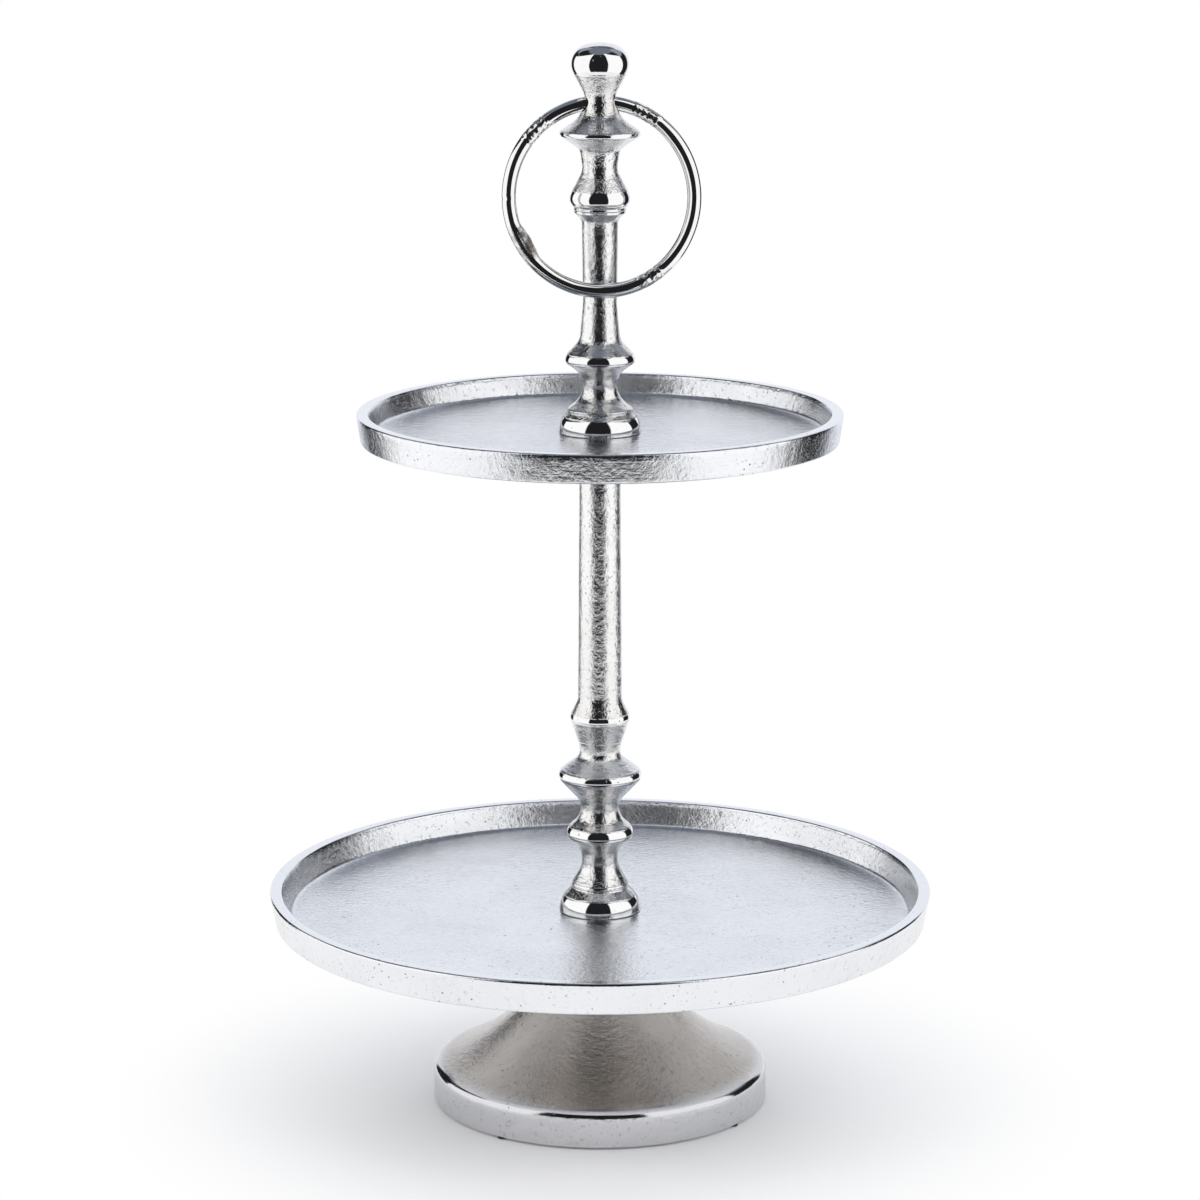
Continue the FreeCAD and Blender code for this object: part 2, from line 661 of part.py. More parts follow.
def make_coupling_stud():
    """The threaded rod that joins the two columns through the upper tray."""
    body = new_body("coupling_stud", "upper_tray_base - stud_below")
    edge = "thread_diameter / 2 - thread_end"
    outline = Outline(body, "section")
    outline.polygon([("0", "0"), (edge, "0"), ("thread_diameter / 2", "thread_end"),
                     ("thread_diameter / 2", "stud_length - thread_end"), (edge, "stud_length"),
                     ("0", "stud_length")])
    revolve(body, outline)
    cut_threads(body, "thread_end", "stud_length - 2 * thread_end")
    return body


def make_flat_washer():
    """The plain washer that spreads the bolt's load on the underside of the foot's web."""
    body = new_body("foot_flat_washer", "lower_tray_base - web_thickness - flat_washer_thickness")
    outline = Outline(body, "section")
    outline.polygon([("washer_bore / 2", "0"), ("flat_washer_diameter / 2", "0"),
                     ("flat_washer_diameter / 2", "flat_washer_thickness"),
                     ("washer_bore / 2", "flat_washer_thickness")])
    revolve(body, outline)
    return body


def make_spring_washer():
    """A square-section lock washer, pressed flat, with its slanting gap at the back."""
    body = new_body("foot_spring_washer", "lower_tray_base - web_thickness - flat_washer_thickness"
                    " - spring_washer_thickness")
    outline = Outline(body, "section")
    outline.polygon([("washer_bore / 2", "0"), ("spring_washer_diameter / 2", "0"),
                     ("spring_washer_diameter / 2", "spring_washer_thickness"),
                     ("washer_bore / 2", "spring_washer_thickness")])
    whole = revolve(body, outline)
    doc.recompute()
    lean = "spring_washer_thickness / 2 * tan(spring_washer_skew)"
    half = "spring_washer_gap / 2"
    slot = Outline(body, "slot")
    slot.polygon([("0 - %s - %s" % (half, lean), "0"), ("%s - %s" % (half, lean), "0"),
                  ("%s + %s" % (half, lean), "spring_washer_thickness"),
                  ("0 - %s + %s" % (half, lean), "spring_washer_thickness")])
    slit = body.newObject("PartDesign::Pocket", "slit")
    slit.Profile = slot.sketch
    slit.Type = 0
    bind(slit, Length="spring_washer_diameter")
    slot.sketch.Visibility = False
    doc.recompute()
    if not slit.Shape.Volume < whole.Shape.Volume - 1:
        raise RuntimeError("the spring washer isn't split")
    return body


# ---------------------------------------------------------------- ring handle

def make_handle_ring():
    """A ring of round rod, welded closed, that hangs through the finial's neck and leans forward."""
    body = new_body("handle_ring")
    reach = "(ring_curve - ring_rise)"
    pivot = column_base("upper") + " + ring_hole_height"
    body.Placement.Rotation = FreeCAD.Rotation(FreeCAD.Vector(1, 0, 0), 0)
    body.setExpression(".Placement.Rotation.Angle", in_sheet("0 - ring_lean"))
    body.setExpression(".Placement.Base.y", in_sheet("0 - %s * sin(ring_lean)" % reach))
    body.setExpression(".Placement.Base.z", in_sheet("%s - %s * cos(ring_lean)" % (pivot, reach)))
    outline = Outline(body, "rod_section", "XY_Plane")
    outline.circle("ring_curve", "0", "rod_radius")
    revolve(body, outline, "rod")

    weld = body.newObject("PartDesign::AdditiveEllipsoid", "weld")
    bind(weld, Radius1="weld_half_length", Radius2="weld_half_depth", Radius3="weld_half_width")
    across = "(ring_curve - weld_inset)"
    weld.Placement.Rotation = FreeCAD.Rotation(FreeCAD.Vector(0, 1, 0), 1)
    weld.setExpression(".Placement.Rotation.Angle", in_sheet("0 - weld_angle"))
    weld.setExpression(".Placement.Base.x", in_sheet("%s * cos(weld_angle)" % across))
    weld.setExpression(".Placement.Base.z", in_sheet("%s * sin(weld_angle)" % across))
    return body


# ---------------------------------------------------------------- the whole stand

def make_stand():
    bodies = [make_foot()]
    bodies += [make_foot_pad(number) for number in range(1, int(SIZES["pad_count"]) + 1)]
    bodies += [make_foot_bolt(), make_spring_washer(), make_flat_washer()]
    bodies += [make_tray("lower"), make_gasket("lower"), make_lower_column()]
    bodies += [make_tray("upper"), make_gasket("upper"), make_coupling_stud(), make_upper_column()]
    bodies += [make_handle_ring()]
    return bodies


def check(bodies):
    """Stops on any feature that failed, or any piece that isn't one sound solid."""
    for item in doc.Objects:
        if "Invalid" in item.State or "Error" in item.State:
            owner = item.getParentGeoFeatureGroup()
            raise RuntimeError("%s of %s failed: %s" % (item.Name, owner and owner.Label, item.State))
    for body in bodies:
        if body.Shape.isNull() or not body.Shape.isValid() or len(body.Shape.Solids) != 1:
            raise RuntimeError("%s isn't one sound solid" % body.Label)
        box = body.Shape.BoundBox
        print("%-22s %9.0f mm3  z %6.1f to %6.1f  radius %6.1f" % (
            body.Label, body.Shape.Volume, box.ZMin, box.ZMax, box.XMax))


stand = make_stand()
doc.recompute()
check(stand)
os.makedirs("parts", exist_ok=True)
for piece in stand:
    piece.Shape.exportStep("parts/%s.step" % piece.Label)
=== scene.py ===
import json
import math

import bpy
import numpy as np
from mathutils import Matrix, Vector, noise


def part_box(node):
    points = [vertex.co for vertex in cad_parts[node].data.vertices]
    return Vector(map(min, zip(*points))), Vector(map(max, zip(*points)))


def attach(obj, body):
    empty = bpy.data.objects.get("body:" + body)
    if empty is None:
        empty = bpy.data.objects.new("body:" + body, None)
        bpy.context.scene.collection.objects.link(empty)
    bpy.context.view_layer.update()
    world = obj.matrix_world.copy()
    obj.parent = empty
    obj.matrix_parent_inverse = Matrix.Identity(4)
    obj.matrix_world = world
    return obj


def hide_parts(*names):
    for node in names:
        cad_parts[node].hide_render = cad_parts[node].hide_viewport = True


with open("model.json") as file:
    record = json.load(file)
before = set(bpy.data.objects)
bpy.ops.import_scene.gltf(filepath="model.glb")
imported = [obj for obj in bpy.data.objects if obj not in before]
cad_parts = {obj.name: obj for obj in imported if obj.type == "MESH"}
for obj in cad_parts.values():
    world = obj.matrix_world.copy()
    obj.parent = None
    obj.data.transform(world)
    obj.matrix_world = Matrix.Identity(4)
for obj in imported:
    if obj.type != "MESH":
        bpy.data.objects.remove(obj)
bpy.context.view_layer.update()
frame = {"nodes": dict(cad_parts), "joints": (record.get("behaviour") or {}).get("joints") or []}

# The visible castings of the cake stand are rebuilt as fine turned meshes around the frame, with the
# small unevenness of sand casting, and get nickel-plated metal with grain, pits and polished beads.
# Everything is in metres. MM turns the drawing's millimetres into metres.
MM = 0.001

# ---------------------------------------------------------------- sizes repeated from the drawing

# Mouldings from the bottom up: kind, radius and height of the widest or narrowest point, and the
# radius of the curve below and above it, in millimetres above the column's foot.
LOWER_MOULDINGS = (
    ("bead", 20.4, 0.6, 12.0, 12.0),
    ("cove", 14.1, 12.4, 1.1, 1.1),
    ("bead", 14.3, 13.6, 1.0, 1.0),
    ("cove", 9.1, 25.6, 12.0, 12.0),
    ("bead", 16.8, 39.2, 2.8, 6.2),
    ("cove", 9.7, 52.4, 9.4, 9.4),
    ("bead", 20.7, 69.3, 3.8, 3.8),
    ("cove", 10.2, 81.3, 4.3, 16.0),
    ("bead", 14.9, 98.8, 3.8, 3.8),
    ("cove", 11.0, 108.8, 4.5, 4.5),
    ("cove", 10.2, 222.0, 6.8, 6.8),
    ("bead", 14.5, 233.6, 3.0, 3.0),
)
UPPER_MOULDINGS = (
    ("bead", 20.2, 0.7, 12.0, 12.0),
    ("cove", 16.1, 10.2, 0.5, 0.5),
    ("bead", 16.3, 11.3, 0.5, 0.5),
    ("cove", 8.6, 22.8, 10.8, 10.8),
    ("bead", 17.3, 35.2, 1.4, 5.7),
    ("cove", 9.7, 48.5, 7.2, 7.2),
    ("cove", 8.4, 64.5, 30.0, 30.0),
    ("cove", 8.9, 101.7, 4.5, 4.5),
    ("bead", 12.9, 107.9, 1.0, 1.0),
    ("cove", 12.7, 109.7, 0.5, 0.5),
    ("bead", 14.8, 113.6, 3.9, 7.7),
    ("cove", 8.7, 129.1, 8.5, 8.5),
    ("cove", 9.6, 135.0, 4.8, 4.8),
    ("bead", 19.8, 145.3, 1.5, 1.5),
    ("cove", 7.7, 162.1, 14.6, 8.4),
    ("bead", 14.0, 178.5, 9.7, 9.7),
)
BORE_RADIUS, BORE_TIP = 4.1, 2.4
BOLT_HOLE_RADIUS = 4.5
RING_HOLE_RADIUS = 4.4
ROD_RADIUS = 3.5
WALL_SLOPE = math.radians(19.0)
FLOOR_SWEEP, LIP_ROUND, SEAT_DEPTH = 2.5, 1.2, 0.3

SKIRT_RADIUS, SKIRT_TOP, SKIRT_ROUND = 83.8, 15.0, 5.0
FLARE_CURVE, NECK_CURVE, THROAT_CURVE = 142.0, 30.0, 10.0
WAIST_RADIUS, WAIST_HEIGHT = 22.0, 78.8
COLLAR_RADIUS, COLLAR_HEIGHT, COLLAR_ROUND = 30.5, 91.6, 2.5
FOOT_WALL, INNER_LAND, WEB_THICKNESS = 4.5, 77.0, 10.0

# ---------------------------------------------------------------- outlines


class Arc:
    """One round stretch of an outline that runs upwards on the outside of a turned piece."""

    def __init__(self, kind, centre, radius):
        self.kind = kind
        self.centre = np.array(centre, float)
        self.radius = radius
        self.signed = radius if kind == "bead" else -radius
        self.joints = [None, None]

    def points(self, step):
        angles = [math.atan2(*(joint - self.centre)[::-1]) for joint in self.joints]
        if self.kind == "cove":
            angles = [angle % (2 * math.pi) for angle in angles]
        count = max(4, int(abs(angles[1] - angles[0]) * self.radius / step) + 2)
        turn = np.linspace(angles[0], angles[1], count)
        return self.centre + self.radius * np.column_stack([np.cos(turn), np.sin(turn)])


def side_by_side(first, second):
    """Where the straight run between two arcs, one above the other, touches each of them."""
    way = second.centre - first.centre
    turn = math.acos((first.signed - second.signed) / math.hypot(*way))
    facing = math.atan2(way[1], way[0]) - turn
    outward = np.array([math.cos(facing), math.sin(facing)])
    first.joints[1] = first.centre + first.signed * outward
    second.joints[0] = second.centre + second.signed * outward


def turned_side(mouldings):
    """The arcs of a turned side, from the bottom up, with their joints."""
    arcs = []
    for kind, radius, height, below, above in mouldings:
        way = -1 if kind == "bead" else 1
        for curve in (below,) if below == above else (below, above):
            arcs.append(Arc(kind, (radius + way * curve, height), curve))
            arcs[-1].tip = np.array([radius, height])
    for first, second in zip(arcs, arcs[1:]):
        if np.allclose(first.tip, second.tip):
            first.joints[1] = second.joints[0] = first.tip
        else:
            side_by_side(first, second)
    arcs[0].joints[0] = arcs[0].tip
    arcs[-1].joints[1] = arcs[-1].tip
    return arcs


class Outline:
    """Points (radius, height, polish) along a section, in millimetres."""

    def __init__(self):
        self.rows = []

    def add(self, points, polish):
        for radius, height in points:
            if self.rows and math.dist(self.rows[-1][:2], (radius, height)) < 1e-4:
                continue
            self.rows.append((radius, height, polish))

    def run_to(self, radius, height, polish, step=0.8):
        start = self.rows[-1][:2]
        count = max(1, int(math.dist(start, (radius, height)) / step))
        for share in np.linspace(0, 1, count + 1)[1:]:
            self.rows.append((start[0] + (radius - start[0]) * share,
                              start[1] + (height - start[1]) * share, polish))

    def array(self, smooth_over=1.2, soften=0.0, keep=0, keep_end=0):
        """The rows, with the polish blurred along the outline. soften, in millimetres, also rounds the
        outline itself, apart from the first keep rows and the last keep_end."""
        rows = np.array(self.rows)
        gaps = np.hypot(*np.diff(rows[:, :2], axis=0).T)
        along = np.concatenate([[0], np.cumsum(gaps)])
        weight = np.concatenate([[0], gaps]) + np.concatenate([gaps, [0]]) + 1e-9
        kernel = np.exp(-((along[:, None] - along[None]) / smooth_over) ** 2) * weight[None]
        rows[:, 2] = (kernel @ rows[:, 2]) / kernel.sum(1)
        if soften:
            near = np.exp(-((along[:, None] - along[None]) / soften) ** 2) * weight[None]
            side = slice(keep, len(rows) - keep_end)
            rows[side, :2] = ((near @ rows[:, :2]) / near.sum(1)[:, None])[side]
        return rows


def rounded(corner, before, after, radius, count=8):
    """Points of a round of that radius at a corner between two other places."""
    corner, before, after = (np.array(p, float) for p in (corner, before, after))
    into = (before - corner) / np.linalg.norm(before - corner)
    out = (after - corner) / np.linalg.norm(after - corner)
    half = math.acos(np.clip(into @ out, -1, 1)) / 2
    centre = corner + (into + out) / np.linalg.norm(into + out) * radius / math.sin(half)
    start = corner + into * radius / math.tan(half)
    finish = corner + out * radius / math.tan(half)
    angles = [math.atan2(*(p - centre)[::-1]) for p in (start, finish)]
    swing = (angles[1] - angles[0] + math.pi) % (2 * math.pi) - math.pi
    turn = angles[0] + np.linspace(0, swing, count)
    return centre + radius * np.column_stack([np.cos(turn), np.sin(turn)])


def polygon_outline(corners, polishes, step):
    """A closed section from corners (radius, height, rounding); one polish for each edge after it."""
    outline = Outline()
    count = len(corners)
    for index, (radius, height, rounding) in enumerate(corners):
        place = (radius, height)
        before, after = corners[index - 1][:2], corners[(index + 1) % count][:2]
        points = [place] if rounding == 0 else rounded(place, before, after, rounding)
        polish = max(polishes[index - 1], polishes[index]) if rounding else polishes[index - 1]
        if outline.rows:
            outline.run_to(*points[0], polishes[index - 1], step)
        outline.add(points, polish)
    outline.run_to(*outline.rows[0][:2], polishes[-1], step)
    outline.rows.pop()
    return outline


# ---------------------------------------------------------------- turned meshes

def finish_mesh(name, vertices, faces, attributes, sharp_angle=40):
    """A smooth-shaded object from points in metres, with float attributes on its points."""
    mesh = bpy.data.meshes.new(name)
    mesh.from_pydata(vertices, [], faces)
    for key, values in attributes.items():
        attribute = mesh.attributes.new(key, "FLOAT", "POINT")
        attribute.data.foreach_set("value", np.asarray(values, np.float32))
    mesh.validate()
    mesh.shade_smooth()
    mesh.set_sharp_from_angle(angle=math.radians(sharp_angle))
    obj = bpy.data.objects.new(name, mesh)
    bpy.context.scene.collection.objects.link(obj)
    return obj


def lathe(name, rows, base, segments, closed, sway, sway_size, cast, cast_size):
    """Revolves an outline about the Z axis.

    sway is how far, in millimetres, the surface wanders inward over sway_size, as a hand-finished
    casting does, and cast is the same for smaller lumps on the unpolished parts.
    """
    angles = np.linspace(0, 2 * math.pi, segments, endpoint=False)
    directions = np.column_stack([np.cos(angles), np.sin(angles)])
    vertices, polish, rings = [], [], []
    for radius, height, shine in rows:
        if radius < 1e-6:
            rings.append([len(vertices)])
            vertices.append((0.0, 0.0, base + height * MM))
            polish.append(shine)
            continue
        rings.append(list(range(len(vertices), len(vertices) + segments)))
        for way in directions:
            place = Vector((way[0] * radius, way[1] * radius, height))
            dip = sway * (0.5 + 0.5 * noise.noise(place / sway_size + Vector((base * 900, 3, 7))))
            dip += cast * (1 - shine) * (0.5 + 0.5 * noise.noise(place / cast_size))
            reach = (radius - min(dip, 0.04 * radius)) * MM
            vertices.append((way[0] * reach, way[1] * reach, base + height * MM))
            polish.append(shine)
    faces = []
    pairs = list(zip(rings, rings[1:])) + ([(rings[-1], rings[0])] if closed else [])
    for lower, upper in pairs:
        for n in range(segments):
            following = (n + 1) % segments
            if len(lower) == 1:
                faces.append((lower[0], upper[following], upper[n]))
            elif len(upper) == 1:
                faces.append((lower[n], lower[following], upper[0]))
            else:
                faces.append((lower[n], lower[following], upper[following], upper[n]))
    return finish_mesh(name, vertices, faces, {"polish": polish})


BEAD_POLISH, COVE_POLISH, STEM_POLISH = 1.0, 0.14, 0.42
BORE_POLISH, SOLE_POLISH, EDGE_POLISH, CROWN_POLISH = 0.2, 0.3, 0.8, 0.9
BELT_BELOW, BELT_ABOVE = math.radians(-36.0), math.radians(36.0)


def column_outline(mouldings, height, bottom_bore, top=None):
    """A column's closed section: bore, sole, turned side and crown. top gives the upper bore's depth,
    and without it the last bead runs on into a cap centred on the axis."""
    arcs = turned_side(mouldings)
    outline = Outline()
    outline.add([(0.0, bottom_bore + BORE_TIP)], BORE_POLISH)
    outline.add([(BORE_RADIUS, bottom_bore), (BORE_RADIUS, 0.0)], BORE_POLISH)
    foot = arcs[0].tip[0]
    outline.run_to(foot - 0.3, 0.0, SOLE_POLISH)
    outline.add([(foot, 0.3)], EDGE_POLISH)
    if top is None:
        ball = arcs[-1]
        rise = height - ball.centre[1]
        cap_radius = (ball.centre[0] ** 2 + rise ** 2 - ball.radius ** 2) / (2 * (rise - ball.radius))
        cap = Arc("bead", (0.0, height - cap_radius), cap_radius)
        ball.joints[1] = cap.centre + (ball.centre - cap.centre) * cap_radius / (cap_radius - ball.radius)
        cap.joints = [ball.joints[1], np.array([0.0, height])]
        arcs.append(cap)
    for arc in arcs:
        if len(outline.rows) > 4:
            start = outline.rows[-1]
            length = math.dist(start[:2], arc.joints[0])
            outline.run_to(*arc.joints[0], STEM_POLISH if length > 8 else COVE_POLISH)
        for point in arc.points(0.35):
            facing = math.atan2(*(point - arc.centre)[::-1])
            on_belt = BELT_BELOW < facing < (math.pi if arc in arcs[-2:] and top is None else BELT_ABOVE)
            outline.add([point], BEAD_POLISH if arc.kind == "bead" and on_belt else COVE_POLISH)
    if top is not None:
        rim = arcs[-1].tip[0]
        outline.add(rounded((rim, height), (rim, height - 9), (0, height), 2.5), CROWN_POLISH)
        outline.run_to(BORE_RADIUS, height, SOLE_POLISH)
        outline.add([(BORE_RADIUS, height - top), (0.0, height - top - BORE_TIP)], BORE_POLISH)
    return outline


CUTTER_REACH = 0.03


def pierce(obj, height, radius):
    """Cuts a round hole along X through a piece, at a height in metres, and removes the cutter."""
    segments = 64
    turns = [2 * math.pi * n / segments for n in range(segments)]
    ends = [(x, radius * math.cos(turn), height + radius * math.sin(turn))
            for x in (-CUTTER_REACH, CUTTER_REACH) for turn in turns]
    sides = [(n, (n + 1) % segments, segments + (n + 1) % segments, segments + n) for n in range(segments)]
    caps = [tuple(range(segments - 1, -1, -1)), tuple(range(segments, 2 * segments))]
    mesh = bpy.data.meshes.new("cutter")
    mesh.from_pydata(ends, [], sides + caps)
    cutter = bpy.data.objects.new("cutter", mesh)
    bpy.context.scene.collection.objects.link(cutter)
    cut = obj.modifiers.new("ring_hole", "BOOLEAN")
    cut.operation = "DIFFERENCE"
    cut.solver = "EXACT"
    cut.object = cutter
    graph = bpy.context.evaluated_depsgraph_get()
    pierced = bpy.data.meshes.new_from_object(obj.evaluated_get(graph))
    obj.modifiers.clear()
    obj.data = pierced
    pierced.set_sharp_from_angle(angle=math.radians(40))
    bpy.data.objects.remove(cutter)


def make_columns():
    low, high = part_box("lower_column")
    rows = column_outline(LOWER_MOULDINGS, (high.z - low.z) / MM, 26.0, top=24.0).array(0.5, 1.0, 60, 20)
    lower = lathe("lower_column_casting", rows, low.z, 160, False, 0.22, 16.0, 0.10, 3.5)
    low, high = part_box("upper_column")
    rows = column_outline(UPPER_MOULDINGS, (high.z - low.z) / MM, 27.0).array(0.5, 0.9, 60, 1)
    upper = lathe("upper_column_casting", rows, low.z, 160, False, 0.18, 14.0, 0.10, 3.5)
    pierce(upper, frame["joints"][0]["pos_m"][2], RING_HOLE_RADIUS * MM)
    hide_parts("lower_column")
    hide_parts("upper_column")
    return lower, upper


LIP_POLISH, WALL_POLISH, FLOOR_POLISH, OUTSIDE_POLISH, UNDER_POLISH = 0.80, 0.0, 0.46, 0.50, 0.2
SEAT_POLISH = 0.3


def make_tray(node, floor, lip_width, base_draft, seat_radius, segments):
    """A lipped tray whose outside radius, height and place come from its node's box."""
    low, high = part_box(node)
    radius = high.y / MM
    height = (high.z - low.z) / MM
    wall_foot = radius - lip_width - (height - floor) * math.tan(WALL_SLOPE)
    corners = [
        (BOLT_HOLE_RADIUS, 0.0, 0), (radius - base_draft, 0.0, LIP_ROUND), (radius, height, LIP_ROUND),
        (radius - lip_width, height, LIP_ROUND), (wall_foot, floor, FLOOR_SWEEP), (seat_radius, floor, 0),
        (seat_radius, floor - SEAT_DEPTH, 0), (BOLT_HOLE_RADIUS, floor - SEAT_DEPTH, 0)]
    polishes = [UNDER_POLISH, OUTSIDE_POLISH, LIP_POLISH, WALL_POLISH, FLOOR_POLISH] + 3 * [SEAT_POLISH]
    rows = polygon_outline(corners, polishes, 1.6).array(1.5)
    tray = lathe(node + "_casting", rows, low.z, segments, True, 0.30, 22.0, 0.22, 5.0)
    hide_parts(node)
    return tray


SKIRT_POLISH, SKIRT_EDGE_POLISH, FLARE_POLISH, NECK_POLISH, COLLAR_POLISH = 0.38, 0.9, 0.40, 0.35, 0.7
INSIDE_POLISH = 0.1


def make_foot():
    """The trumpet foot: skirt, long flare, neck and collar outside, the same wall inside."""
    low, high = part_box("foot")
    top = high.z / MM
    bottom = low.z / MM
    skirt = Arc("bead", (SKIRT_RADIUS - SKIRT_ROUND, SKIRT_TOP), SKIRT_ROUND)
    neck = Arc("cove", (WAIST_RADIUS + NECK_CURVE, WAIST_HEIGHT), NECK_CURVE)
    throat = Arc("cove", (WAIST_RADIUS + THROAT_CURVE, WAIST_HEIGHT), THROAT_CURVE)
    collar = Arc("bead", (COLLAR_RADIUS - COLLAR_ROUND, COLLAR_HEIGHT), COLLAR_ROUND)
    to_skirt, to_neck = FLARE_CURVE + skirt.radius, FLARE_CURVE - neck.radius
    way = neck.centre - skirt.centre
    apart = np.linalg.norm(way)
    along = (apart ** 2 + to_skirt ** 2 - to_neck ** 2) / (2 * apart)
    away = math.sqrt(to_skirt ** 2 - along ** 2)
    way = way / apart
    flare = Arc("cove", skirt.centre + along * way + away * np.array([way[1], -way[0]]), FLARE_CURVE)

    def towards(start, target, distance):
        return start + (target - start) * distance / np.linalg.norm(target - start)

    skirt.joints = [np.array([SKIRT_RADIUS, SKIRT_TOP]), towards(skirt.centre, flare.centre, skirt.radius)]
    waist = np.array([WAIST_RADIUS, WAIST_HEIGHT])
    flare.joints = [skirt.joints[1], towards(flare.centre, neck.centre, flare.radius)]
    neck.joints = [flare.joints[1], waist]
    throat.joints[0] = waist
    side_by_side(throat, collar)
    collar.joints[1] = np.array([COLLAR_RADIUS, COLLAR_HEIGHT])

    inner_flare = Arc("cove", flare.centre, flare.radius + FOOT_WALL)
    inner_neck = Arc("cove", neck.centre, neck.radius + FOOT_WALL)
    rise = math.sqrt(inner_flare.radius ** 2 - (flare.centre[0] - INNER_LAND) ** 2)
    inner_flare.joints = [np.array([INNER_LAND, flare.centre[1] - rise]),
                          towards(flare.centre, neck.centre, inner_flare.radius)]
    inner_neck.joints = [inner_flare.joints[1], waist - np.array([FOOT_WALL, 0])]

    outline = Outline()
    outline.add([(INNER_LAND, bottom)], SOLE_POLISH)
    outline.run_to(SKIRT_RADIUS - 0.5, bottom, SOLE_POLISH)
    outline.add([(SKIRT_RADIUS, bottom + 0.5)], 0.6)
    outline.run_to(SKIRT_RADIUS, SKIRT_TOP, SKIRT_POLISH)
    outline.add(skirt.points(0.5), SKIRT_EDGE_POLISH)
    outline.add(flare.points(0.9), FLARE_POLISH)
    outline.add(neck.points(0.8), NECK_POLISH)
    outline.add(throat.points(0.5), NECK_POLISH)
    outline.run_to(*collar.joints[0], NECK_POLISH)
    outline.add(collar.points(0.4), COLLAR_POLISH)
    outline.run_to(COLLAR_RADIUS, top, 0.5)
    outline.run_to(BOLT_HOLE_RADIUS, top, BORE_POLISH)
    outline.run_to(BOLT_HOLE_RADIUS, top - WEB_THICKNESS, BORE_POLISH)
    outline.run_to(WAIST_RADIUS - FOOT_WALL, top - WEB_THICKNESS, BORE_POLISH)
    outline.run_to(*inner_neck.joints[1], INSIDE_POLISH)
    outline.add(inner_neck.points(1.0)[::-1], INSIDE_POLISH)
    outline.add(inner_flare.points(1.5)[::-1], INSIDE_POLISH)
    outline.run_to(INNER_LAND, bottom, INSIDE_POLISH)
    outline.rows.pop()
    foot = lathe("foot_casting", outline.array(1.5), 0.0, 288, True, 0.35, 20.0, 0.25, 4.5)
    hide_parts("foot")
    return foot


# ---------------------------------------------------------------- ring handle

WELD_ANGLE, WELD_HALF_ANGLE = math.radians(209.0), math.radians(13.0)
WELD_BULGE, WELD_LUMPS = 1.75, 0.35
WORN_ANGLES = tuple(math.radians(angle) for angle in (60, 135, 300))
WORN_SPREAD = math.radians(9.0)
NOTCH_DEPTH, NOTCH_SPREAD = 0.5, math.radians(0.7)
RING_SEGMENTS = (420, 40)


def make_ring():
    """The ring of round rod: a tube round a circle, swollen and lumpy at its weld, with a small notch.

    The point attributes say where the plating is rubbed (rub) and where the weld is (weld)."""
    low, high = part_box("handle_ring")
    rod = ROD_RADIUS * MM
    circle = high.x - rod
    lean = math.asin((high.y - low.y - 2 * rod) / (2 * circle))
    middle = Vector((0, (low.y + high.y) / 2, (low.z + high.z) / 2))
    place = Matrix.Translation(middle) @ Matrix.Rotation(-lean, 4, "X")
    around, across = RING_SEGMENTS
    vertices, rub, weld = [], [], []
    for n in range(around):
        angle = 2 * math.pi * n / around
        worn = sum(math.exp(-((angle - middle_of) / WORN_SPREAD) ** 2) for middle_of in WORN_ANGLES)
        notch = math.exp(-((angle - math.pi) / NOTCH_SPREAD) ** 2)
        off = (angle - WELD_ANGLE) / WELD_HALF_ANGLE
        swell = max(0.0, 1 - off * off) ** 1.2
        outward = Vector((math.cos(angle), 0, math.sin(angle)))
        for k in range(across):
            turn = 2 * math.pi * k / across
            side = outward * math.cos(turn) + Vector((0, 1, 0)) * math.sin(turn)
            inward = max(0.0, -math.cos(turn)) ** 0.7
            lump = noise.noise(Vector((angle * 60, math.cos(turn) * 2.2, math.sin(turn) * 2.2)))
            flat = noise.noise(Vector((math.cos(angle) * 2.5, math.sin(angle) * 2.5, math.cos(turn))))
            radius = rod * (1 - 0.025 * max(0.0, flat))
            radius -= NOTCH_DEPTH * MM * notch * max(0.0, math.cos(turn + 0.6)) ** 2
            radius += swell * MM * (WELD_BULGE * inward + WELD_LUMPS * lump * (0.3 + inward) - 0.15)
            vertices.append(place @ (outward * circle + side * radius))
            rub.append(worn)
            weld.append(min(1.0, swell * 1.6) * min(1.0, 0.45 + inward))
    faces = []
    for n in range(around):
        for k in range(across):
            a, b = n * across + k, n * across + (k + 1) % across
            c, d = (a + across) % (around * across), (b + across) % (around * across)
            faces.append((a, b, d, c))
    ring = finish_mesh("ring_of_rod", vertices, faces, {"rub": rub, "weld": weld}, 75)
    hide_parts("handle_ring")
    return ring


# ---------------------------------------------------------------- materials

